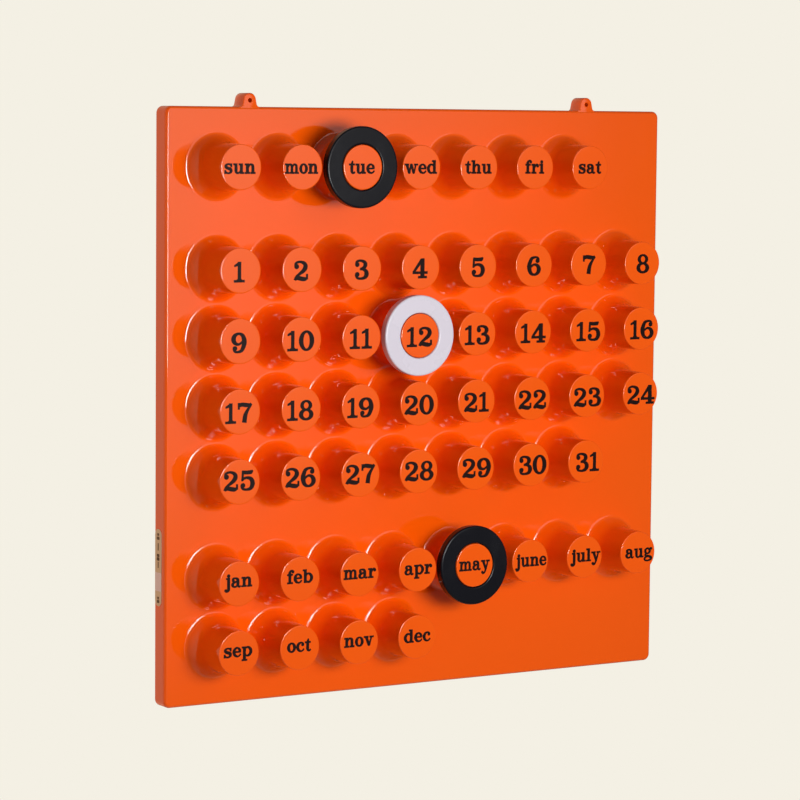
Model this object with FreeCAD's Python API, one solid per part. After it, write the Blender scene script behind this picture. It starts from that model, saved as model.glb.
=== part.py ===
# Perpetual wall calendar: one moulded plastic panel with a peg for every weekday, date and month,
# two lugs to hang it by, and three rings that are moved from peg to peg to mark today.
# Millimetres. X runs right, Z up and the front faces -Y. The wall is the plane y = 0, and the
# origin is midway between the two hanging holes on that plane.
import FreeCAD, Part
import math
import os
from FreeCAD import Vector

# Panel: a front plate with a rim turned back to the wall
panel_width = 420.0
panel_height = 420.0
panel_depth = 14.5
plate_thickness = 2.5
rim_thickness = 2.5
corner_radius = 5.0
inner_corner_radius = 2.5
front_edge_chamfer = 2.0

# Lugs on the top edge, each with a hole for a nail or a small screw
hanging_hole_spacing = 287.0
hanging_hole_radius = 1.5
hanging_hole_rise = 4.5
lug_rise = 9.6
lug_base_width = 12.4
lug_top_width = 8.4
lug_top_round = 3.4

# Pegs: tapered, hollow, and flared where they leave the plate
peg_pitch = 48.7
block_gap = 71.0
peg_length = 36.0
peg_tip_radius = 15.75
peg_draft = math.radians(2.6)
peg_wall = 2.4
flare_reach = 6.85
flare_height = 7.0
# Flats around a peg and around its core. Their corners lie on the true radius: 20 flats keep a tip
# within 0.2 mm of round and keep fifty pegs light.
peg_flats = 20
core_flats = 8

# Rows from the top, as the number of pegs in each: weekdays, then dates 1 to 31, then months
calendar_blocks = {"day": [7], "date": [8, 8, 8, 7], "month": [8, 4]}

# Marker rings, which seat on the taper of a peg
ring_outer_radius = 28.85
ring_thickness = 7.15
ring_clearance = 0.1
# The peg that each ring marks, as its row in the block and its place in the row, both from 0
marked_pegs = {"day": (0, 2), "date": (1, 3), "month": (0, 4)}

# Label on the left side of the rim
label_length = 54.2
label_width = 9.3
label_thickness = 0.25
label_drop = 321.4
label_margin = 4.8
label_corner_radius = 4.2

# How near an edge's ends have to be to a plane to count as lying on it
edge_tolerance = 0.01

# Places that follow from these sizes
top_edge_z = -hanging_hole_rise
centre_z = top_edge_z - panel_height / 2
front_y = -panel_depth
plate_back_y = front_y + plate_thickness
tip_y = front_y - peg_length
slope = math.tan(peg_draft)


def peg_radius(y):
    """Radius of a peg's tapered side at y, carried on through the plate."""
    return peg_tip_radius + (y - tip_y) * slope


def peg_places():
    """Place of every peg's axis as (x, z), by block, row and column."""
    rows = []
    z = 0.0
    for block, counts in calendar_blocks.items():
        for row, count in enumerate(counts):
            if rows:
                z -= block_gap if row == 0 else peg_pitch
            rows.append((block, row, count, z))
    columns = max(count for block, row, count, z in rows)
    left = -(columns - 1) * peg_pitch / 2
    middle = (rows[0][3] + rows[-1][3]) / 2
    places = {}
    for block, row, count, z in rows:
        for column in range(count):
            places[block, row, column] = (left + column * peg_pitch, centre_z + z - middle)
    return places


def tapered_prism(stations, flats):
    """A solid about the Y axis through regular outlines, each given as its corner radius and its y."""
    turn = 2 * math.pi / flats
    outlines = [[Vector(radius * math.cos(turn * k), y, radius * math.sin(turn * k)) for k in range(flats)]
                for radius, y in stations]
    faces = [Part.Face(Part.makePolygon(ends + ends[:1])) for ends in (outlines[0], outlines[-1])]
    for near, far in zip(outlines, outlines[1:]):
        for k in range(flats):
            after = (k + 1) % flats
            side = [near[k], near[after], far[after], far[k], near[k]]
            faces.append(Part.Face(Part.makePolygon(side)))
    return Part.Solid(Part.Shell(faces))


def make_peg():
    """One solid peg at the origin, rooted in the plate, with its foot flaring out on to it."""
    flare_y = front_y - flare_height
    foot = peg_radius(front_y) + flare_reach
    root_y = front_y + plate_thickness / 2
    stations = [(foot, root_y), (foot, front_y), (peg_radius(flare_y), flare_y), (peg_tip_radius, tip_y)]
    return tapered_prism(stations, peg_flats)


def make_core():
    """The hollow of one peg at the origin, open at the back of the plate."""
    mouth_y = plate_back_y + plate_thickness
    return tapered_prism([(peg_radius(y) - peg_wall, y) for y in (mouth_y, tip_y + peg_wall)], core_flats)


def rounded_box(width, height, radius, y_front, y_back):
    """A block centred on the panel, with its corners rounded about Y."""
    corner = Vector(-width / 2, y_front, centre_z - height / 2)
    block = Part.makeBox(width, y_back - y_front, height, corner)
    across = [edge for edge in block.Edges if edge.BoundBox.YLength > y_back - y_front - edge_tolerance]
    return block.makeFillet(radius, across)


def make_tray():
    """The front plate and its rim, open at the back."""
    block = rounded_box(panel_width, panel_height, corner_radius, front_y, 0)
    front_rim = [edge for edge in block.Edges if edge.BoundBox.YMax < front_y + edge_tolerance]
    block = block.makeChamfer(front_edge_chamfer, front_rim)
    hollow = rounded_box(panel_width - 2 * rim_thickness, panel_height - 2 * rim_thickness,
                         inner_corner_radius, plate_back_y, 0)
    return block.cut(hollow)


def make_lug(x):
    """A hanging lug standing on the top edge, as deep as the rim, with its hole."""
    base_z = top_edge_z - rim_thickness
    top_z = top_edge_z + lug_rise
    lean = (lug_base_width - lug_top_width) / 2 / lug_rise
    half_base = lug_base_width / 2 + lean * rim_thickness
    half_top = lug_top_width / 2
    corners = [Vector(x - half_base, front_y, base_z), Vector(x + half_base, front_y, base_z),
               Vector(x + half_top, front_y, top_z), Vector(x - half_top, front_y, top_z)]
    outline = Part.Face(Part.makePolygon(corners + corners[:1]))
    lug = outline.extrude(Vector(0, panel_depth, 0))
    top_edges = [edge for edge in lug.Edges
                 if edge.BoundBox.ZMin > top_z - edge_tolerance and edge.BoundBox.YLength > panel_depth / 2]
    return lug.makeFillet(lug_top_round, top_edges)


def make_hanging_hole(x):
    return Part.makeCylinder(hanging_hole_radius, panel_depth, Vector(x, front_y, 0), Vector(0, 1, 0))


def at_places(shape, places):
    copies = []
    for x, z in places:
        copy = shape.copy()
        copy.translate(Vector(x, 0, z))
        copies.append(copy)
    return copies


def make_panel(places):
    """The whole moulding: tray, pegs and lugs, cored from behind."""
    sides = (-hanging_hole_spacing / 2, hanging_hole_spacing / 2)
    lugs = [make_lug(x) for x in sides]
    pegs = at_places(make_peg(), places)
    cores = at_places(make_core(), places)
    holes = [make_hanging_hole(x) for x in sides]
    return make_tray().fuse(lugs + pegs).cut(cores + holes)


def make_ring(x, z):
    """A marker ring flush with a peg's tip, whose back edge seats on the peg's taper."""
    bore_radius = peg_radius(tip_y + ring_thickness) + ring_clearance
    front = Vector(x, tip_y, z)
    disc = Part.makeCylinder(ring_outer_radius, ring_thickness, front, Vector(0, 1, 0))
    return disc.cut(Part.makeCylinder(bore_radius, ring_thickness, front, Vector(0, 1, 0)))


def make_label():
    """A thin label with round ends on the left side of the rim."""
    corner = Vector(-panel_width / 2 - label_thickness, front_y + label_margin,
                    top_edge_z - label_drop - label_length / 2)
    strip = Part.makeBox(label_thickness, label_width, label_length, corner)
    through = [edge for edge in strip.Edges if edge.BoundBox.XLength > label_thickness - edge_tolerance]
    return strip.makeFillet(label_corner_radius, through)


def build():
    places = peg_places()
    parts = {"panel": make_panel(list(places.values())), "side_label": make_label()}
    for block, (row, column) in marked_pegs.items():
        parts[block + "_ring"] = make_ring(*places[block, row, column])
    return parts


os.makedirs("parts", exist_ok=True)
for name, shape in build().items():
    shape.exportStep(os.path.join("parts", name + ".step"))
    box = shape.BoundBox
    print(name, "solids", len(shape.Solids), "valid", shape.isValid(), "volume", round(shape.Volume),
          "x", round(box.XMin, 2), round(box.XMax, 2), "y", round(box.YMin, 2), round(box.YMax, 2),
          "z", round(box.ZMin, 2), round(box.ZMax, 2))
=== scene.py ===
import math

import bmesh
import bpy
from mathutils import Matrix, Vector
from mathutils.geometry import delaunay_2d_cdt


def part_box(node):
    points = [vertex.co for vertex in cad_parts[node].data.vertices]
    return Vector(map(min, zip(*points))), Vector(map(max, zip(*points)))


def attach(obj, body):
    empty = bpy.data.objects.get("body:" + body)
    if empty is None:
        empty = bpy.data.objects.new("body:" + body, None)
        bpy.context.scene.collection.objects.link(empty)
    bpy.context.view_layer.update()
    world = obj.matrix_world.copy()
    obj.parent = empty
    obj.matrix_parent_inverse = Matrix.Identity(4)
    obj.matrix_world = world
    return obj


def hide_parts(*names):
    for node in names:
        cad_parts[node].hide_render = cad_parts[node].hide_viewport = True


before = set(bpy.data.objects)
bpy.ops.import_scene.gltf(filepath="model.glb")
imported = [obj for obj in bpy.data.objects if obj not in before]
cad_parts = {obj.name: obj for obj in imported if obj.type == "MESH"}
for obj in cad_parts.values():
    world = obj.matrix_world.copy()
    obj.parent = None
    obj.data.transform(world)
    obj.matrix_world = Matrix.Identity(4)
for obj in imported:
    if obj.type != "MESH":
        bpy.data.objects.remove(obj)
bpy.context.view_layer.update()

# Perpetual wall calendar: a glossy orange moulding with fifty printed pegs and three marker rings.
# Sizes are in millimetres and become metres where a mesh is made.
mm = 0.001
lowest, highest = (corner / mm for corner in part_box("panel"))
tipY = lowest.y
halfSide = highest.x
centreZ = lowest.z + halfSide

# In millimetres: how near points are joined, and how far off a point stands that only gives a direction
weldReach = {"moulding": 0.002, "film": 0.001, "print": 0.0005}
farOff = 9.0
sharpTurn = math.radians(42)
flatTolerance = 1e-7


def linear(red, green, blue):  # a colour as picked on screen, 0 to 255, to scene values
    values = [channel / 255 for channel in (red, green, blue)]
    return tuple(v / 12.92 if v <= 0.04045 else ((v + 0.055) / 1.055) ** 2.4 for v in values) + (1.0,)


# Meshes

def arcPoints(centre, radius, start, end, steps):  # angles in degrees, from the first axis to the second
    points = []
    for k in range(steps + 1):
        angle = math.radians(start + (end - start) * k / steps)
        points.append((centre[0] + radius * math.cos(angle), centre[1] + radius * math.sin(angle)))
    return points


def circleTurns(sides):
    return [2 * math.pi * k / sides for k in range(sides)]


def roundedOutline(middle, halfWide, halfTall, radius, steps):  # a rectangle with rounded corners
    points = []
    for start, sideX, sideY in ((0, 1, 1), (90, -1, 1), (180, -1, -1), (270, 1, -1)):
        centre = (middle[0] + sideX * (halfWide - radius), middle[1] + sideY * (halfTall - radius))
        points += arcPoints(centre, radius, start, start + 90, steps)
    return points


def bridgeLoops(build, loops):  # rings of points joined by quads; a loop of one point closes a pole
    rings = [[build.verts.new(point) for point in loop] for loop in loops]
    for near, far in zip(rings, rings[1:]):
        count = max(len(near), len(far))
        for k in range(count):
            after = (k + 1) % count
            corners = [near[k % len(near)], near[after % len(near)], far[after % len(far)], far[k % len(far)]]
            build.faces.new(list(dict.fromkeys(corners)))
    return rings


def turnedLoops(profile, sides, x=0.0, z=0.0):  # a profile of (radius, y) turned about an axis along Y
    loops = []
    for radius, y in profile:
        if radius == 0:
            loops.append([Vector((x, y, z)) * mm])
            continue
        loops.append([Vector((x + radius * math.cos(t), y, z + radius * math.sin(t))) * mm
                      for t in circleTurns(sides)])
    return loops


def fillFlat(build, y, outline, holes):  # a flat face across Y inside an outline, round its circular holes
    points = [Vector(point) for point in outline]
    edges = [(k, (k + 1) % len(outline)) for k in range(len(outline))]
    for x, z, radius, sides in holes:
        first = len(points)
        points += [Vector((x + radius * math.cos(t), z + radius * math.sin(t))) for t in circleTurns(sides)]
        edges += [(first + k, first + (k + 1) % sides) for k in range(sides)]
    whole = list(range(len(outline)))
    flat, _, faces, *_ = delaunay_2d_cdt(points, edges, [whole], 1, flatTolerance)
    verts = [build.verts.new(Vector((p.x, y, p.y)) * mm) for p in flat]
    for face in faces:
        middle = sum((flat[k] for k in face), Vector((0, 0))) / len(face)
        if all((middle - Vector((x, z))).length > radius for x, z, radius, _ in holes):
            build.faces.new([verts[k] for k in face])


def addObject(name, data):
    added = bpy.data.objects.new(name, data)
    bpy.context.scene.collection.objects.link(added)
    return added


def finishMesh(build, name, weld):  # welds the seams, turns the faces outwards and makes the object
    bmesh.ops.remove_doubles(build, verts=build.verts, dist=weld * mm)
    bmesh.ops.recalc_face_normals(build, faces=build.faces)
    mesh = bpy.data.meshes.new(name)
    build.to_mesh(mesh)
    build.free()
    mesh.shade_smooth()
    mesh.set_sharp_from_angle(angle=sharpTurn)
    return addObject(name, mesh)


def addThinPiece(build, name, material, weld):  # print or film, which goes wherever the panel goes
    piece = finishMesh(build, name, weld)
    piece.data.materials.append(material)
    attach(piece, "panel")
    return piece


# Surface effects shared by the plastics: pigment that is a little uneven over a hand's width, finger marks
# and fine wiping haze in patches, and the orange peel left by the mould

grain = {"pigment": {"Scale": 9.0, "Detail": 3.0},
         "haze": {"Scale": 46.0, "Detail": 6.0, "Roughness": 0.62},
         "peel": {"Scale": 120.0, "Detail": 2.0},
         "hazeFrom": 0.48, "hazeTo": 0.75, "peelDepth": 0.0006}


def makeGroup(name, inputs, outputs):
    group = bpy.data.node_groups.new(name, "ShaderNodeTree")
    for label, kind, default in inputs:
        socket = group.interface.new_socket(name=label, in_out="INPUT", socket_type=kind)
        socket.default_value = default
    for label, kind in outputs:
        group.interface.new_socket(name=label, in_out="OUTPUT", socket_type=kind)
    return group, group.nodes.new("NodeGroupInput"), group.nodes.new("NodeGroupOutput")


def buildMouldedSkin():  # the colour, roughness and normal of a moulded plastic face
    group, inside, out = makeGroup(
        "mouldedSkin",
        [("Tint", "NodeSocketColor", (1, 1, 1, 1)), ("Shade", "NodeSocketColor", (0.8, 0.8, 0.8, 1)),
         ("Gloss", "NodeSocketFloat", 0.15), ("Marks", "NodeSocketFloat", 0.1),
         ("Wave", "NodeSocketFloat", 0.02)],
        [("Color", "NodeSocketColor"), ("Roughness", "NodeSocketFloat"), ("Normal", "NodeSocketVector")])
    nodes, link = group.nodes, group.links.new
    place = nodes.new("ShaderNodeTexCoord")
    noise = {}
    for kind in ("pigment", "haze", "peel"):
        noise[kind] = nodes.new("ShaderNodeTexNoise")
        for label, value in grain[kind].items():
            noise[kind].inputs[label].default_value = value
        link(place.outputs["Object"], noise[kind].inputs["Vector"])
    blend = nodes.new("ShaderNodeMix")
    blend.data_type = "RGBA"
    link(noise["pigment"].outputs["Fac"], blend.inputs["Factor"])
    link(inside.outputs["Tint"], blend.inputs["A"])
    link(inside.outputs["Shade"], blend.inputs["B"])
    link(blend.outputs["Result"], out.inputs["Color"])
    patch = nodes.new("ShaderNodeMapRange")
    patch.inputs["From Min"].default_value = grain["hazeFrom"]
    patch.inputs["From Max"].default_value = grain["hazeTo"]
    link(noise["haze"].outputs["Fac"], patch.inputs["Value"])
    dull = nodes.new("ShaderNodeMath")
    dull.operation = "MULTIPLY_ADD"
    link(patch.outputs["Result"], dull.inputs[0])
    link(inside.outputs["Marks"], dull.inputs[1])
    link(inside.outputs["Gloss"], dull.inputs[2])
    link(dull.outputs["Value"], out.inputs["Roughness"])
    bump = nodes.new("ShaderNodeBump")
    bump.inputs["Distance"].default_value = grain["peelDepth"]
    link(inside.outputs["Wave"], bump.inputs["Strength"])
    link(noise["peel"].outputs["Fac"], bump.inputs["Height"])
    link(bump.outputs["Normal"], out.inputs["Normal"])
    return group


mouldedSkin = buildMouldedSkin()


def mouldedPlastic(name, finish):  # an opaque moulded plastic, from its finish
    material = bpy.data.materials.new(name)
    material.use_nodes = True
    shader = material.node_tree.nodes["Principled BSDF"]
    shader.inputs["IOR"].default_value = finish["ior"]
    shader.inputs["Specular IOR Level"].default_value = finish["specular"]
    skin = material.node_tree.nodes.new("ShaderNodeGroup")
    skin.node_tree = mouldedSkin
    for label in ("Tint", "Shade"):
        skin.inputs[label].default_value = linear(*finish[label.lower()])
    for label in ("Gloss", "Marks", "Wave"):
        skin.inputs[label].default_value = finish[label.lower()]
    for output, socket in (("Color", "Base Color"), ("Roughness", "Roughness"), ("Normal", "Normal")):
        material.node_tree.links.new(skin.outputs[output], shader.inputs[socket])
    return material


orangePlastic = mouldedPlastic("orangePlastic", {
    "tint": (244, 92, 4), "shade": (240, 87, 3), "gloss": 0.05, "marks": 0.05, "wave": 0.012,
    "ior": 1.54, "specular": 0.55})
blackPlastic = mouldedPlastic("blackPlastic", {
    "tint": (15, 16, 23), "shade": (12, 12, 18), "gloss": 0.2, "marks": 0.1, "wave": 0.04,
    "ior": 1.5, "specular": 0.24})
whitePlastic = mouldedPlastic("whitePlastic", {
    "tint": (215, 209, 220), "shade": (210, 203, 215), "gloss": 0.25, "marks": 0.14, "wave": 0.05,
    "ior": 1.5, "specular": 0.5})
print("finishes ready")


# The panel moulding

# A guard is the distance from a round to an extra loop that keeps the flat beside it flat when shaded smooth.
tray = {"plate": 2.5, "rim": 2.5, "corner": 5.0, "leastCorner": 0.6, "cornerSteps": 8,
        "frontRound": 2.6, "frontBrow": 1.0, "browTurn": 24, "backRound": 0.4, "insideRound": 1.0,
        "guard": 0.4, "backGuard": 0.3}
peg = {"length": 36.0, "tipRadius": 15.75, "draft": 2.6, "wall": 2.4, "footReach": 6.85, "skirtHeight": 7.0,
       "footBlend": 3.4, "footHalfTurn": 24, "footMargin": 0.06, "neckBlend": 20.0, "tipRound": 0.55,
       "sides": 56, "coreSides": 40, "coreRound": 1.5, "mouthRound": 1.0, "mouthReach": 1.6,
       "inkRecess": 0.05, "guard": 0.4, "tipGuard": 0.3}
grid = {"pitch": 48.7, "blockGap": 71.0, "blocks": ((7,), (8, 8, 8, 7), (8, 4))}
frontY = tipY + peg["length"]
topEdgeZ = lowest.z + 2 * halfSide
plateBackY = frontY + tray["plate"]
slope = math.tan(math.radians(peg["draft"]))


def rowStarts():  # the first peg of every row as (x, z, pegs in the row), from the top
    rows = []
    z = 0.0
    for block in grid["blocks"]:
        for row, count in enumerate(block):
            if rows:
                z -= grid["blockGap"] if row == 0 else grid["pitch"]
            rows.append((z, count))
    columns = max(count for z, count in rows)
    left = -(columns - 1) * grid["pitch"] / 2
    middle = (rows[0][0] + rows[-1][0]) / 2
    return [(left, centreZ + z - middle, count) for z, count in rows]


def pegPlaces():
    return [(x + column * grid["pitch"], z) for x, z, count in rowStarts() for column in range(count)]


def sideRadius(y):  # a peg's tapered side, carried on through the plate
    return peg["tipRadius"] + (y - tipY) * slope


def traySquare(inset):  # the panel's outline as (x, z), taken in from its sides
    radius = max(tray["corner"] - inset, tray["leastCorner"])
    half = halfSide - inset
    return roundedOutline((0, centreZ), half, half, radius, tray["cornerSteps"])


def trayStations():  # (inset, y) from the front face over the rim and into the recess behind
    front, brow, rim = tray["frontRound"], tray["frontBrow"], tray["rim"]
    back, inside, guard, backGuard = tray["backRound"], tray["insideRound"], tray["guard"], tray["backGuard"]
    # The front edge turns sharply off the face on a small round, then eases to the side on a large one
    turned = -90 - tray["browTurn"]
    turn = math.radians(tray["browTurn"])
    reach = brow * math.sin(turn) + front * (1 - math.sin(turn))
    easeY = frontY + brow * (1 - math.cos(turn)) + front * math.cos(turn)
    stations = [(reach + guard, frontY)]
    stations += arcPoints((reach, frontY + brow), brow, -90, turned, 4)
    stations += arcPoints((front, easeY), front, turned, -180, 8)[1:]
    stations.append((0, easeY + guard))
    stations += [(0, -back - backGuard)] + arcPoints((back, -back), back, 180, 90, 3)
    stations += arcPoints((rim - back, -back), back, 90, 0, 3) + [(rim, -back - backGuard)]
    stations += arcPoints((rim + inside, plateBackY + inside), inside, 180, 270, 4)
    stations.append((rim + inside + guard, plateBackY))
    return stations


def tangentBlend(corner, before, after, radius, steps, guard=0.0):  # rounds a profile's corner with an arc
    corner, before, after = Vector(corner), Vector(before), Vector(after)
    inward, outward = (before - corner).normalized(), (after - corner).normalized()
    half = inward.angle(outward) / 2
    reach = radius / math.tan(half)
    centre = corner + (inward + outward).normalized() * radius / math.sin(half)
    start, end = corner + inward * reach - centre, corner + outward * reach - centre
    sweep = start.angle_signed(end)
    turned = [Matrix.Rotation(-sweep * k / steps, 2) @ start + centre for k in range(steps + 1)]
    if guard:
        turned = [turned[0] + inward * guard] + turned + [turned[-1] + outward * guard]
    return [tuple(point) for point in turned]


def shifted(point, target, distance):  # a point moved some way towards another
    point, target = Vector(point), Vector(target)
    return tuple(point + (target - point).normalized() * distance)


def pegProfile():  # (radius, y) from the plate over the skirt and side to the middle of the tip
    blend = peg["footBlend"]
    plateEdge = sideRadius(frontY) + peg["footReach"]
    foot = (plateEdge - blend * math.tan(math.radians(peg["footHalfTurn"])), frontY)
    neckY = frontY - peg["skirtHeight"]
    neck = (sideRadius(neckY), neckY)
    faceY = tipY + peg["inkRecess"]
    rim = (sideRadius(faceY), faceY)
    points = [(plateEdge + peg["footMargin"], frontY)]
    points += tangentBlend(foot, (plateEdge + farOff, frontY), neck, blend, 6)
    points += tangentBlend(neck, foot, rim, peg["neckBlend"], 6)
    points.append(shifted(points[-1], rim, peg["guard"]))
    points += tangentBlend(rim, neck, (0, faceY), peg["tipRound"], 4, peg["tipGuard"])
    points.append((0, faceY))
    return points


def coreProfile():  # (radius, y) from the back of the plate to the middle of the core's end
    endY = tipY + peg["wall"]
    mouth = (sideRadius(plateBackY) - peg["wall"], plateBackY)
    end = (sideRadius(endY) - peg["wall"], endY)
    outside = (mouth[0] + farOff, plateBackY)
    points = [(mouth[0] + peg["mouthReach"], plateBackY)]
    points += tangentBlend(mouth, outside, end, peg["mouthRound"], 3)
    points += tangentBlend(end, mouth, (0, endY), peg["coreRound"], 4)
    points += [(points[-1][0] - peg["guard"], endY), (0, endY)]
    return points


def buildPegSource():  # one peg at the origin, outside and core, open where the plate meets it
    build = bmesh.new()
    bridgeLoops(build, turnedLoops(pegProfile(), peg["sides"]))
    bridgeLoops(build, turnedLoops(coreProfile(), peg["coreSides"]))
    mesh = bpy.data.meshes.new("pegSource")
    build.to_mesh(mesh)
    build.free()
    return addObject("pegSource", mesh)


def pegFieldTree():  # repeats a peg along each row: rows carry how many pegs they hold
    tree = bpy.data.node_groups.new("pegField", "GeometryNodeTree")
    tree.interface.new_socket(name="Geometry", in_out="OUTPUT", socket_type="NodeSocketGeometry")
    for label, kind in (("Row starts", "NodeSocketGeometry"), ("Peg", "NodeSocketObject"),
                        ("Pitch", "NodeSocketFloat"), ("Finish", "NodeSocketMaterial")):
        tree.interface.new_socket(name=label, in_out="INPUT", socket_type=kind)
    nodes, link = tree.nodes, tree.links.new
    inside, out = nodes.new("NodeGroupInput"), nodes.new("NodeGroupOutput")
    amount = nodes.new("GeometryNodeInputNamedAttribute")
    amount.data_type = "INT"
    amount.inputs["Name"].default_value = "pegsInRow"
    repeat = nodes.new("GeometryNodeDuplicateElements")
    repeat.domain = "POINT"
    link(inside.outputs["Row starts"], repeat.inputs["Geometry"])
    link(amount.outputs["Attribute"], repeat.inputs["Amount"])
    stride = nodes.new("ShaderNodeMath")
    stride.operation = "MULTIPLY"
    link(repeat.outputs["Duplicate Index"], stride.inputs[0])
    link(inside.outputs["Pitch"], stride.inputs[1])
    offset = nodes.new("ShaderNodeCombineXYZ")
    link(stride.outputs["Value"], offset.inputs["X"])
    move = nodes.new("GeometryNodeSetPosition")
    link(repeat.outputs["Geometry"], move.inputs["Geometry"])
    link(offset.outputs["Vector"], move.inputs["Offset"])
    shape = nodes.new("GeometryNodeObjectInfo")
    link(inside.outputs["Peg"], shape.inputs["Object"])
    place = nodes.new("GeometryNodeInstanceOnPoints")
    link(move.outputs["Geometry"], place.inputs["Points"])
    link(shape.outputs["Geometry"], place.inputs["Instance"])
    real = nodes.new("GeometryNodeRealizeInstances")
    link(place.outputs["Instances"], real.inputs["Geometry"])
    finish = nodes.new("GeometryNodeSetMaterial")
    link(real.outputs["Geometry"], finish.inputs["Geometry"])
    link(inside.outputs["Finish"], finish.inputs["Material"])
    link(finish.outputs["Geometry"], out.inputs["Geometry"])
    return tree


def setInput(modifier, label, value):
    for item in modifier.node_group.interface.items_tree:
        if item.name == label and item.in_out == "INPUT":
            modifier[item.identifier] = value


def fieldOfPegs():  # every peg as one plain mesh
    rows = rowStarts()
    mesh = bpy.data.meshes.new("rowStarts")
    mesh.from_pydata([(x * mm, 0, z * mm) for x, z, count in rows], [], [])
    counts = mesh.attributes.new("pegsInRow", "INT", "POINT")
    for number, (x, z, count) in enumerate(rows):
        counts.data[number].value = count
    holder = addObject("rowStarts", mesh)
    source = buildPegSource()
    modifier = holder.modifiers.new("pegs", "NODES")
    modifier.node_group = pegFieldTree()
    setInput(modifier, "Peg", source)
    setInput(modifier, "Pitch", grid["pitch"] * mm)
    setInput(modifier, "Finish", orangePlastic)
    view = bpy.context.evaluated_depsgraph_get()
    pegs = bpy.data.meshes.new_from_object(holder.evaluated_get(view))
    bpy.data.objects.remove(holder)
    bpy.data.objects.remove(source)
    return pegs


# A lug's front and back edges are rounded over "edge", with a middle loop at the share "edgeMiddle" of it.
lug = {"spacing": 287.0, "rise": 9.6, "baseWidth": 12.4, "topWidth": 8.4, "topRound": 4.6, "footRound": 2.2,
       "root": 1.9, "setBack": 0.5, "backInset": 0.03, "edge": 1.3, "edgeMiddle": 0.3,
       "holeRadius": 1.5, "holeSides": 24, "holeLip": 0.35}


def lugOutline(x, inset):  # anticlockwise seen from the front, standing on the top edge
    halfBase, halfTop = lug["baseWidth"] / 2 - inset, lug["topWidth"] / 2 - inset
    top = topEdgeZ + lug["rise"] - inset
    foot = lug["footRound"]
    right = [(halfBase + foot, topEdgeZ - lug["root"])]
    right += tangentBlend((halfBase, topEdgeZ), (halfBase + farOff, topEdgeZ), (halfTop, top), foot, 4)
    right += tangentBlend((halfTop, top), (halfBase, topEdgeZ), (0, top), lug["topRound"] - inset, 8)
    left = [(-px, pz) for px, pz in reversed(right)]
    return [(x + px, pz) for px, pz in right + left]


def addLug(build, x):
    edge = lug["edge"]
    part = edge * lug["edgeMiddle"]
    near, far = frontY + lug["setBack"], -lug["backInset"]
    stations = [(edge, near), (part, near + part), (0, near + edge), (0, far - edge), (part, far - part),
                (edge, far)]
    loops = [[Vector((px, y, pz)) * mm for px, pz in lugOutline(x, inset)] for inset, y in stations]
    bridgeLoops(build, loops)
    radius, lip = lug["holeRadius"], lug["holeLip"]
    hole = [(radius + lip, near), (radius, near + lip), (radius, far - lip), (radius + lip, far)]
    bridgeLoops(build, turnedLoops(hole, lug["holeSides"], x, 0.0))
    for y in (near, far):
        fillFlat(build, y, lugOutline(x, edge), [(x, 0.0, radius + lip, lug["holeSides"])])


def buildPanel():
    build = bmesh.new()
    stations = trayStations()
    bridgeLoops(build, [[Vector((x, y, z)) * mm for x, z in traySquare(inset)] for inset, y in stations])
    for (inset, y), profile, sides in ((stations[0], pegProfile(), peg["sides"]),
                                       (stations[-1], coreProfile(), peg["coreSides"])):
        holes = [(x, z, profile[0][0], sides) for x, z in pegPlaces()]
        fillFlat(build, y, traySquare(inset), holes)
    build.from_mesh(fieldOfPegs())
    for side in (-1, 1):
        addLug(build, side * lug["spacing"] / 2)
    return finishMesh(build, "panelMoulding", weldReach["moulding"])


panelMoulding = buildPanel()
panelMoulding.data.materials.append(orangePlastic)
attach(panelMoulding, "panel")
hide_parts("panel")
print("panel ready:", len(panelMoulding.data.polygons), "faces")


# Marker rings

ring = {"boreRadius": 16.17, "outerRound": 1.3, "boreRound": 1.1, "roundSteps": 6, "guard": 0.3, "sides": 144}


def buildRing(node, material):
    low, high = (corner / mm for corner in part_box(node))
    x, z = (low.x + high.x) / 2, (low.z + high.z) / 2
    outer, bore = (high.x - low.x) / 2, ring["boreRadius"]
    corners = [(bore, low.y), (outer, low.y), (outer, high.y), (bore, high.y)]
    rounds = [ring["boreRound"], ring["outerRound"], ring["outerRound"], ring["boreRound"]]
    profile = []
    for k, corner in enumerate(corners):
        profile += tangentBlend(corner, corners[k - 1], corners[(k + 1) % 4], rounds[k], ring["roundSteps"],
                                ring["guard"])
    build = bmesh.new()
    bridgeLoops(build, turnedLoops(profile + profile[:1], ring["sides"], x, z))
    piece = finishMesh(build, node + "_moulded", weldReach["moulding"])
    piece.data.materials.append(material)
    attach(piece, node)
    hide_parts(node)
    return piece


for node, material, slot in (("day_ring", blackPlastic, "black_plastic"),
                             ("date_ring", whitePlastic, "white_plastic"),
                             ("month_ring", blackPlastic, "black_plastic")):
    buildRing(node, material)
print("rings ready")


# Lettering: a bold slab face, printed in ink on the peg tips

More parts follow.
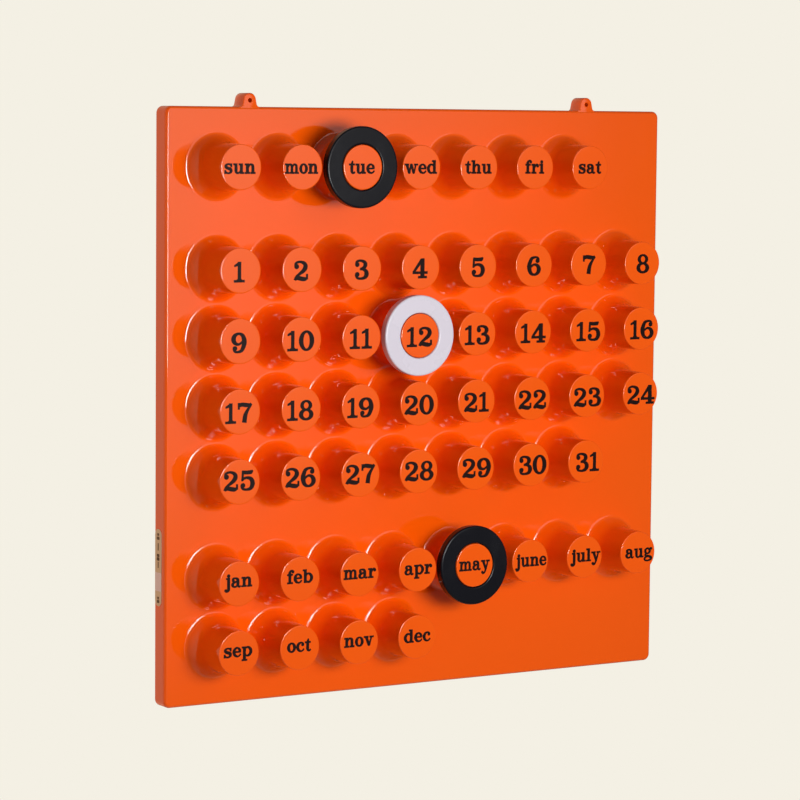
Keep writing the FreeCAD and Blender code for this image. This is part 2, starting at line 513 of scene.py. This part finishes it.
# A figure is 100 high and a plain small letter 66, on a baseline at 0. Its first number is its width and the
# rest are its parts: "b" a block by its corners, "p" a plain outline, "o" an oval ring by centre, reach and
# wall, "d" a dot, and "s" a stroke through (x, y, width) points.
figures = {
    "0": (82, ("o", 41, 50, 40, 51, 21, 9)),
    "1": (60, ("b", 24, 0, 39, 100), ("b", 4, 0, 58, 9),
          ("p", (39, 100), (31, 100), (5, 85), (5, 77), (25, 84)),
          ("p", (17, 9), (46, 9), (39, 16), (24, 16))),
    "2": (82, ("d", 18, 72, 11), ("b", 71, 8, 78, 32),
          ("s", (10, 72, 7), (14, 89, 9), (36, 96, 9), (59, 88, 15), (66, 71, 20), (57, 53, 18), (36, 36, 12),
           (16, 20, 9), (7, 3, 8)),
          ("s", (8, 6, 10), (23, 14, 17), (44, 10, 19), (62, 8, 17), (72, 12, 10))),
    "3": (80, ("d", 18, 76, 10.5), ("d", 18, 25, 11),
          ("s", (10, 78, 7), (17, 92, 9), (38, 96, 9), (58, 88, 15), (63, 74, 19), (55, 60, 14), (36, 53, 8)),
          ("s", (32, 53, 8), (52, 51, 10), (66, 42, 17), (70, 27, 21), (62, 11, 16), (40, 4, 9), (18, 8, 9),
           (9, 24, 7))),
    "4": (86, ("b", 46, 0, 66, 98), ("b", 33, 0, 80, 9), ("b", 2, 23, 84, 33),
          ("p", (48, 100), (66, 100), (14, 33), (2, 33))),
    "5": (80, ("d", 18, 25, 11),
          ("p", (14, 100), (40, 98), (70, 101), (71, 94), (64, 83), (40, 82), (21, 84)),
          ("p", (14, 98), (22, 98), (20, 50), (11, 48)),
          ("s", (13, 51, 7), (25, 61, 9), (42, 64, 11), (62, 56, 17), (70, 34, 21), (61, 11, 16), (40, 4, 9),
           (18, 8, 9), (9, 24, 7))),
    "6": (82, ("d", 62, 78, 10.5),
          ("s", (70, 80, 7), (62, 94, 8), (43, 96, 9), (25, 87, 15), (13, 58, 20), (13, 36, 21), (22, 13, 16),
           (42, 4, 9), (62, 13, 16), (70, 32, 21), (62, 51, 16), (43, 58, 9), (24, 47, 8), (16, 34, 8))),
    "7": (82, ("b", 5, 70, 12, 100),
          ("s", (8, 88, 16), (26, 93, 17), (48, 90, 18), (66, 90, 13), (76, 97, 7)),
          ("s", (76, 95, 8), (58, 68, 11), (44, 40, 18), (38, 1, 21))),
    "8": (80, ("o", 40, 75, 31, 26, 16, 8), ("o", 40, 28, 38, 29, 20, 9)),
    "9": (82, ("d", 20, 22, 10.5),
          ("s", (12, 20, 7), (20, 6, 8), (39, 4, 9), (57, 13, 15), (69, 42, 20), (69, 64, 21), (60, 87, 16),
           (40, 96, 9), (20, 87, 16), (12, 68, 21), (20, 49, 16), (39, 42, 9), (58, 53, 8), (66, 66, 8)))}

bowl = ("s", (24, 50, 7), (37, 62, 8), (53, 60, 12), (65, 46, 17), (68, 33, 18), (65, 20, 17), (53, 6, 12),
        (37, 4, 8), (24, 14, 7))
leftBowl = ("s", *[(78 - x, y, width) for x, y, width in bowl[1:]])
arch = ("s", (27, 45, 7), (37, 60, 8), (48, 61, 11), (58, 54, 16), (60.5, 40, 17), (60.5, 4, 17))
letters = {
    "a": (75, ("d", 16, 48, 8.5),
          ("s", (10, 50, 6), (14, 60, 7), (31, 63, 8), (46, 57, 14), (51, 45, 17), (51, 16, 17), (56, 5, 10),
           (65, 3, 8), (72, 10, 6)),
          ("s", (50, 40, 7), (30, 36, 9), (15, 28, 14), (11, 17, 17), (17, 6, 11), (31, 3, 8), (43, 9, 8),
           (52, 20, 7))),
    "b": (78, ("b", 11, 0, 28, 91), ("b", 2, 83, 28, 91), bowl),
    "c": (63, ("d", 49, 48, 8.5),
          ("s", (55, 50, 6), (50, 59, 7), (35, 63, 8), (18, 54, 14), (10, 33, 18), (18, 12, 14), (35, 3, 8),
           (50, 8, 7), (59, 20, 6))),
    "d": (80, ("b", 50, 0, 67, 91), ("b", 41, 83, 67, 91), ("b", 50, 0, 77, 8), leftBowl),
    "e": (66, ("b", 12, 31, 60, 38),
          ("s", (56, 34, 15), (51, 52, 13), (34, 63, 8), (17, 54, 14), (10, 33, 18), (18, 12, 15), (36, 3, 8),
           (51, 8, 7), (61, 20, 6))),
    "f": (48, ("b", 12, 0, 29, 78), ("b", 2, 0, 42, 8), ("b", 2, 58, 42, 66), ("d", 45, 82, 8),
          ("s", (20.5, 70, 17), (24, 84, 13), (36, 91, 8), (48, 87, 6))),
    "g": (74, ("o", 32, 44, 27, 23, 15, 8), ("d", 66, 60, 6.5), ("s", (50, 57, 7), (58, 64, 7), (66, 65, 6)),
          ("s", (20, 25, 7), (12, 16, 9), (20, 7, 12), (44, 3, 14), (62, -5, 15), (62, -18, 12), (36, -28, 8),
           (12, -24, 9), (7, -12, 11), (18, -1, 9), (30, 4, 9))),
    "h": (82, ("b", 11, 0, 28, 91), ("b", 2, 83, 28, 91), ("b", 2, 0, 37, 8), ("b", 45, 0, 78, 8), arch),
    "i": (42, ("b", 12, 0, 29, 66), ("b", 2, 58, 29, 66), ("b", 2, 0, 39, 8), ("d", 20, 82, 10)),
    "j": (42, ("s", (26, 66, 17), (26, -6, 17), (23, -20, 13), (11, -27, 8), (0, -22, 6)),
          ("b", 9, 58, 34, 66), ("d", 5, -18, 8), ("d", 26, 81, 10)),
    "l": (42, ("b", 12, 0, 29, 91), ("b", 2, 83, 29, 91), ("b", 2, 0, 39, 8)),
    "m": (112, ("b", 11, 0, 26, 66), ("b", 2, 58, 26, 66), ("b", 2, 0, 34, 8), ("b", 41, 0, 70, 8),
          ("b", 77, 0, 108, 8),
          ("s", (25, 45, 7), (33, 60, 8), (43, 61, 11), (53, 54, 14), (55, 40, 15), (55, 4, 15)),
          ("s", (60, 45, 7), (69, 60, 8), (80, 61, 11), (89, 54, 14), (91, 40, 15), (91, 4, 15))),
    "n": (82, ("b", 11, 0, 28, 66), ("b", 2, 58, 28, 66), ("b", 2, 0, 37, 8), ("b", 45, 0, 78, 8), arch),
    "o": (67, ("o", 33.5, 33, 32, 34, 18, 8)),
    "p": (80, ("b", 11, -30, 28, 66), ("b", 2, 58, 28, 66), ("b", 2, -30, 39, -22), bowl),
    "r": (62, ("b", 11, 0, 28, 66), ("b", 2, 58, 28, 66), ("b", 2, 0, 40, 8), ("d", 52, 53, 8.5),
          ("s", (27, 42, 7), (35, 56, 9), (46, 63, 9), (57, 57, 7))),
    "s": (66, ("b", 50, 45, 58, 66), ("b", 5, 0, 13, 21),
          ("s", (54, 52, 7), (44, 61, 8), (28, 63, 8), (14, 54, 14), (16, 42, 16), (32, 35, 17), (50, 27, 17),
           (51, 13, 15), (38, 3, 8), (21, 4, 8), (9, 14, 7))),
    "t": (48, ("b", 13, 14, 30, 66), ("b", 2, 58, 43, 66), ("p", (13, 62), (30, 62), (30, 86), (24, 86)),
          ("s", (21.5, 20, 17), (25, 7, 13), (36, 3, 8), (46, 12, 6))),
    "u": (82, ("b", 11, 18, 28, 66), ("b", 2, 58, 28, 66), ("b", 51, 0, 68, 66), ("b", 42, 58, 68, 66),
          ("b", 51, 0, 78, 8), ("s", (19.5, 26, 17), (22, 9, 14), (35, 3, 9), (47, 9, 8), (55, 20, 7))),
    "v": (76, ("p", (8, 66), (27, 66), (46, 0), (33, 0)), ("p", (56, 66), (64, 66), (46, 0), (36, 0)),
          ("b", 1, 58, 34, 66), ("b", 46, 58, 75, 66)),
    "w": (106, ("p", (7, 66), (25, 66), (42, 0), (30, 0)), ("p", (46, 66), (53, 66), (42, 0), (34, 0)),
          ("p", (44, 66), (60, 66), (77, 0), (65, 0)), ("p", (85, 66), (92, 66), (77, 0), (70, 0)),
          ("b", 1, 58, 32, 66), ("b", 76, 58, 104, 66)),
    "y": (76, ("p", (8, 66), (27, 66), (47, 0), (36, -4)), ("b", 1, 58, 34, 66), ("b", 46, 58, 75, 66),
          ("s", (61, 66, 8), (45, 12, 9), (36, -12, 9), (27, -25, 8), (16, -28, 8), (8, -24, 6)),
          ("d", 12, -20, 8))}
glyphTolerance = 1e-4
ovalSides = 36


def smoothPath(points, steps=5):  # Catmull-Rom through the points, width and all
    knots = [Vector(point) for point in points]
    knots = [2 * knots[0] - knots[1]] + knots + [2 * knots[-1] - knots[-2]]
    path = []
    for a, b, c, d in zip(knots, knots[1:], knots[2:], knots[3:]):
        for k in range(steps):
            t = k / steps
            path.append(0.5 * (2 * b + (c - a) * t + (2 * a - 5 * b + 4 * c - d) * t ** 2
                               + (3 * b - a - 3 * c + d) * t ** 3))
    return path + [knots[-2]]


def partOutlines(part, spread):  # the outlines that a part of a glyph is made of, with the ink's spread
    kind, values = part[0], part[1:]
    if kind == "b":
        x0, y0, x1, y1 = values
        return [[(x0 - spread, y0 - spread), (x1 + spread, y0 - spread), (x1 + spread, y1 + spread),
                 (x0 - spread, y1 + spread)]]
    if kind == "p":
        outlines = [list(values)]
        for start, end in zip(values, values[1:] + values[:1]):
            outlines += partOutlines(("s", (*start, 2 * spread), (*end, 2 * spread)), 0)
        return outlines
    if kind == "d":
        x, y, radius = values
        return [arcPoints((x, y), radius + spread, 0, 337.5, 15)]  # 16 points round
    if kind == "o":
        x, y, reachX, reachY, wallX, wallY = values
        turns = [2 * math.pi * k / ovalSides for k in range(ovalSides + 1)]
        outer = [(x + (reachX + spread) * math.cos(t), y + (reachY + spread) * math.sin(t)) for t in turns]
        inX, inY = reachX - wallX - spread, reachY - wallY - spread
        inner = [(x + inX * math.cos(t), y + inY * math.sin(t)) for t in turns]
    else:
        path = smoothPath(values)
        outer, inner = [], []
        for k, knot in enumerate(path):
            along = (path[min(k + 1, len(path) - 1)] - path[max(k - 1, 0)]).xy.normalized()
            across = Vector((-along.y, along.x)) * (knot.z / 2 + spread)
            outer.append(tuple(knot.xy + across))
            inner.append(tuple(knot.xy - across))
    return [[outer[k], outer[k + 1], inner[k + 1], inner[k]] for k in range(len(outer) - 1)]


def covers(outline, point):  # whether a point lies inside an outline
    hit = False
    for (x0, y0), (x1, y1) in zip(outline, outline[1:] + outline[:1]):
        if (y0 > point.y) != (y1 > point.y) and point.x < x0 + (point.y - y0) * (x1 - x0) / (y1 - y0):
            hit = not hit
    return hit


def glyphShape(parts, spread):  # the parts joined into one flat shape: (points, faces)
    points, edges, outlines = [], [], []
    for part in parts:
        for outline in partOutlines(part, spread):
            outlines.append(outline)
            first, count = len(points), len(outline)
            points += [Vector(point) for point in outline]
            edges += [(first + k, first + (k + 1) % count) for k in range(count)]
    flat, _, cells, *_ = delaunay_2d_cdt(points, edges, [], 0, glyphTolerance)
    kept = []
    for cell in cells:
        middle = sum((flat[k] for k in cell), Vector((0, 0))) / len(cell)
        if any(covers(outline, middle) for outline in outlines):
            kept.append(cell)
    return flat, kept


def glyphShapes(glyphs, spread):  # every glyph as (width, points, faces)
    return {name: (width, *glyphShape(parts, spread)) for name, (width, *parts) in glyphs.items()}


# Millimetres for each unit of a glyph, how far the baseline lies under the peg's axis, and the print's depth.
# Gaps and the ink's spread are in a glyph's units.
ink = {"figureWide": 0.147, "figureTall": 0.137, "figureDrop": 7.6, "letterWide": 0.105, "letterTall": 0.101,
       "letterDrop": 4.3, "depth": 0.09, "figureGap": 6.0, "letterGap": 3.0, "figureSpread": 2.2,
       "letterSpread": 3.0}
# How far off centre each row is printed: (right, up) at its first peg, then how much both change per peg
misprints = [(-1.1, 0.0, 0.14, 0.0), (-1.35, -0.15, 0.27, 0.06), (-1.3, -0.15, 0.26, 0.0),
             (-1.2, -0.15, 0.24, 0.0), (-0.85, 1.6, 0.34, -0.21), (-0.5, 0.0, 0.29, 0.0),
             (-0.9, 0.0, 0.33, 0.0)]
squeezed = {"mon": 0.95, "may": 0.93, "june": 0.92}  # long words, set tighter
figureShapes = glyphShapes(figures, ink["figureSpread"])
letterShapes = glyphShapes(letters, ink["letterSpread"])


def printText(build, text, x, z):  # one number or word centred on a peg's tip
    kind = "figure" if text.isdigit() else "letter"
    shapes = figureShapes if text.isdigit() else letterShapes
    wide, tall, drop, gap = (ink[kind + label] for label in ("Wide", "Tall", "Drop", "Gap"))
    wide *= squeezed.get(text, 1)
    length = sum(shapes[glyph][0] + gap for glyph in text) - gap
    start = -length / 2
    for glyph in text:
        width, flat, cells = shapes[glyph]
        spots = [Vector((x + (start + p.x) * wide, tipY, z - drop + p.y * tall)) for p in flat]
        near = [build.verts.new(spot * mm) for spot in spots]
        front = [build.faces.new([near[k] for k in cell]) for cell in cells]
        grown = bmesh.ops.extrude_face_region(build, geom=front)["geom"]
        backVerts = [item for item in grown if isinstance(item, bmesh.types.BMVert)]
        bmesh.ops.translate(build, verts=backVerts, vec=(0, ink["depth"] * mm, 0))
        start += width + gap


def buildPrint(name, texts, places):
    build = bmesh.new()
    for text, (x, z) in zip(texts, places):
        printText(build, text, x, z)
    loose = [vert for vert in build.verts if not vert.link_faces]
    bmesh.ops.delete(build, geom=loose, context="VERTS")
    return addThinPiece(build, name, blackInk, weldReach["print"])


blackInk = mouldedPlastic("blackInk", {
    "tint": (27, 13, 11), "shade": (23, 11, 9), "gloss": 0.42, "marks": 0.1, "wave": 0.0,
    "ior": 1.5, "specular": 0.1})
places = [(x + column * grid["pitch"] + right + column * drift, z + up + column * climb)
          for (x, z, count), (right, up, drift, climb) in zip(rowStarts(), misprints)
          for column in range(count)]
weekdays = "sun mon tue wed thu fri sat".split()
dates = [str(date) for date in range(1, 32)]
# Each month with how far right and up it is printed, on top of its row
months = {"jan": (0, 2.1), "feb": (0, 1.5), "mar": (0, 1.3), "apr": (0, 1.1), "may": (-0.8, 0.8),
          "june": (0, 0.5), "july": (-0.2, 0.8), "aug": (-0.5, 0.5), "sep": (0, 1.9), "oct": (0, 1.5),
          "nov": (0, 1.4), "dec": (0, 0.7)}
firstDate, firstMonth = len(weekdays), len(weekdays) + len(dates)
monthPlaces = [(x + right, z + up) for (x, z), (right, up) in zip(places[firstMonth:], months.values())]
printed = [buildPrint("printedDays", weekdays, places[:firstDate]),
           buildPrint("printedDates", dates, places[firstDate:firstMonth]),
           buildPrint("printedMonths", months, monthPlaces)]
print("lettering ready:", sum(len(piece.data.polygons) for piece in printed), "faces")


# Label on the left side of the rim: a tan film with a paler band and plain bars

# The band and the bars are (middle height, height, width). They stand proud of the film and are sunk in it.
label = {"film": 0.2, "round": 4.2, "cornerSteps": 6, "middleY": -5.05, "sunk": 0.02,
         "band": (-335.9, 13.1, 8.4), "bandRound": 0.4, "bandProud": 0.02,
         "bars": ((-302.6, 1.8, 2.8), (-305.2, 2.2, 3.8), (-311.2, 5.3, 1.3), (-317.3, 2.2, 3.6),
                  (-319.8, 2.4, 3.8), (-323.9, 4.6, 1.2), (-347.3, 1.8, 2.6), (-349.7, 2.2, 3.6)),
         "barRoundShare": 0.35, "barProud": 0.03}


def addSlab(build, z, tall, wide, radius, outX, inX):  # a flat piece on the rim's side with rounded corners
    outline = roundedOutline((label["middleY"], z), wide / 2, tall / 2, radius, label["cornerSteps"])
    for loop in bridgeLoops(build, [[Vector((x, y, zz)) * mm for y, zz in outline] for x in (outX, inX)]):
        build.faces.new(loop)


def buildLabel():
    low, high = (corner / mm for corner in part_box("side_label"))
    faceX = high.x - label["film"]
    sunkX = faceX + label["sunk"]
    build = bmesh.new()
    addSlab(build, (low.z + high.z) / 2, high.z - low.z, high.y - low.y, label["round"], faceX, high.x)
    film = addThinPiece(build, "labelFilm", tanFilm, weldReach["film"])
    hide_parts("side_label")
    build = bmesh.new()
    z, tall, wide = label["band"]
    addSlab(build, z, tall, wide, label["bandRound"], faceX - label["bandProud"], sunkX)
    addThinPiece(build, "labelBand", paleFilm, weldReach["film"])
    build = bmesh.new()
    for z, tall, wide in label["bars"]:
        radius = min(tall, wide) * label["barRoundShare"]
        addSlab(build, z, tall, wide, radius, faceX - label["barProud"], sunkX)
    addThinPiece(build, "labelBars", filmInk, weldReach["film"])


tanFilm = mouldedPlastic("tanFilm", {
    "tint": (228, 212, 184), "shade": (216, 198, 166), "gloss": 0.45, "marks": 0.2, "wave": 0.05,
    "ior": 1.45, "specular": 0.4})
paleFilm = mouldedPlastic("paleFilm", {
    "tint": (240, 230, 240), "shade": (232, 220, 230), "gloss": 0.4, "marks": 0.2, "wave": 0.05,
    "ior": 1.45, "specular": 0.4})
filmInk = mouldedPlastic("filmInk", {
    "tint": (80, 58, 34), "shade": (70, 48, 28), "gloss": 0.5, "marks": 0.1, "wave": 0.0,
    "ior": 1.45, "specular": 0.4})
buildLabel()
print("label ready")


# Studio, in metres: a soft box in front, an even room with a glow round the box, and light thrown back by
# the wall to the left of the panel

backdropTone = linear(244, 240, 228)
frontBox = {"right": -0.04, "forward": -1.21, "rise": 0.085, "size": (0.56, 0.3), "power": 11.1}
studio = {"room": 0.12, "roomTone": (1.0, 0.98, 0.95, 1), "glow": 1.2, "glowTurn": math.radians(14),
          "glowRise": math.radians(9), "glowEdge": math.radians(25), "glowCore": math.radians(13),
          "bounce": 0.82, "bounceTone": (1.0, 0.57, 0.33, 1), "bounceSide": (-0.6, 0.8, 0.0),
          "bounceEdge": 0.2, "bounceCore": 0.75}
floor = {"radius": 1.2, "sides": 64, "height": -1.5, "roughness": 0.9}


def buildFrontBox():
    data = bpy.data.lights.new("frontBox", "AREA")
    data.shape = "RECTANGLE"
    data.size, data.size_y = frontBox["size"]
    data.energy = frontBox["power"]
    place = Vector((frontBox["right"], frontBox["forward"], centreZ * mm + frontBox["rise"]))
    target = Vector((0.0, frontY * mm, centreZ * mm))
    aim = (target - place).to_track_quat("-Z", "Y").to_matrix().to_4x4()
    addObject("frontBox", data).matrix_world = Matrix.Translation(place) @ aim


buildFrontBox()


def skyPatch(nodes, link, direction, edge, core, low, high):  # strength that rises softly towards a direction
    place = nodes.new("ShaderNodeTexCoord")
    aim = nodes.new("ShaderNodeVectorMath")
    aim.operation = "DOT_PRODUCT"
    aim.inputs[1].default_value = direction
    link(place.outputs["Generated"], aim.inputs[0])
    patch = nodes.new("ShaderNodeMapRange")
    patch.interpolation_type = "SMOOTHSTEP"
    for label, value in (("From Min", edge), ("From Max", core), ("To Min", low), ("To Max", high)):
        patch.inputs[label].default_value = value
    link(aim.outputs["Value"], patch.inputs["Value"])
    return patch


def buildWorld():
    world = bpy.data.worlds.new("studio")
    bpy.context.scene.world = world
    world.use_nodes = True
    nodes, link = world.node_tree.nodes, world.node_tree.links.new
    nodes.clear()
    seen = nodes.new("ShaderNodeBackground")
    seen.inputs["Color"].default_value = backdropTone
    turn, rise, room = studio["glowTurn"], studio["glowRise"], studio["room"]
    glowSide = (math.sin(turn) * math.cos(rise), -math.cos(turn) * math.cos(rise), math.sin(rise))
    glow = skyPatch(nodes, link, glowSide, math.cos(studio["glowEdge"]), math.cos(studio["glowCore"]),
                    room, room + studio["glow"])
    fill = nodes.new("ShaderNodeBackground")
    fill.inputs["Color"].default_value = studio["roomTone"]
    link(glow.outputs["Result"], fill.inputs["Strength"])
    bounce = skyPatch(nodes, link, studio["bounceSide"], studio["bounceEdge"], studio["bounceCore"],
                      0.0, studio["bounce"])
    warm = nodes.new("ShaderNodeBackground")
    warm.inputs["Color"].default_value = studio["bounceTone"]
    link(bounce.outputs["Result"], warm.inputs["Strength"])
    both = nodes.new("ShaderNodeAddShader")
    link(fill.outputs[0], both.inputs[0])
    link(warm.outputs[0], both.inputs[1])
    path = nodes.new("ShaderNodeLightPath")
    choose = nodes.new("ShaderNodeMixShader")
    link(path.outputs["Is Camera Ray"], choose.inputs[0])
    link(both.outputs[0], choose.inputs[1])
    link(seen.outputs[0], choose.inputs[2])
    out = nodes.new("ShaderNodeOutputWorld")
    link(choose.outputs[0], out.inputs["Surface"])


buildWorld()


def buildFloor():
    build = bmesh.new()
    bmesh.ops.create_circle(build, cap_ends=True, segments=floor["sides"], radius=floor["radius"])
    mesh = bpy.data.meshes.new("studioFloor")
    build.to_mesh(mesh)
    build.free()
    mesh.transform(Matrix.Translation((0, 0, floor["height"])))
    material = bpy.data.materials.new("paleFloor")
    material.use_nodes = True
    nodes, link = material.node_tree.nodes, material.node_tree.links.new
    shader = nodes["Principled BSDF"]
    shader.inputs["Base Color"].default_value = backdropTone
    shader.inputs["Roughness"].default_value = floor["roughness"]
    seen = nodes.new("ShaderNodeEmission")  # the camera sees the backdrop's tone, and no light comes of it
    seen.inputs["Color"].default_value = backdropTone
    path, choose = nodes.new("ShaderNodeLightPath"), nodes.new("ShaderNodeMixShader")
    link(path.outputs["Is Camera Ray"], choose.inputs[0])
    link(shader.outputs[0], choose.inputs[1])
    link(seen.outputs[0], choose.inputs[2])
    link(choose.outputs[0], nodes["Material Output"].inputs["Surface"])
    mesh.materials.append(material)
    addObject("studioFloor", mesh)


buildFloor()

# Camera, as fitted to the photograph's peg tips, rings and edges
viewpoint = {"focal": 3139.55, "frameWidth": 800, "sensorWidth": 36.0, "clipStart": 0.05,
             "place": (-1215.24, -1926.41, 198.62), "yaw": -0.55591, "pitch": -0.08755, "roll": 0.00914}


def buildCamera():
    data = bpy.data.cameras.new("camera")
    data.sensor_width = viewpoint["sensorWidth"]
    data.lens = viewpoint["focal"] / viewpoint["frameWidth"] * data.sensor_width
    data.clip_start = viewpoint["clipStart"]
    camera = addObject("camera", data)
    yaw, pitch, roll = viewpoint["yaw"], viewpoint["pitch"], viewpoint["roll"]
    forward = Vector((-math.sin(yaw) * math.cos(pitch), math.cos(yaw) * math.cos(pitch), math.sin(pitch)))
    level = Vector((math.cos(yaw), math.sin(yaw), 0))
    up = level.cross(forward)
    right = level * math.cos(roll) + up * math.sin(roll)
    up = up * math.cos(roll) - level * math.sin(roll)
    turn = Matrix((right, up, -forward)).transposed().to_4x4()
    x, y, z = viewpoint["place"]
    camera.matrix_world = Matrix.Translation(Vector((x, y + frontY, z + centreZ)) * mm) @ turn
    bpy.context.scene.camera = camera


buildCamera()
bpy.context.scene.view_settings.view_transform = "Standard"
print("studio ready")
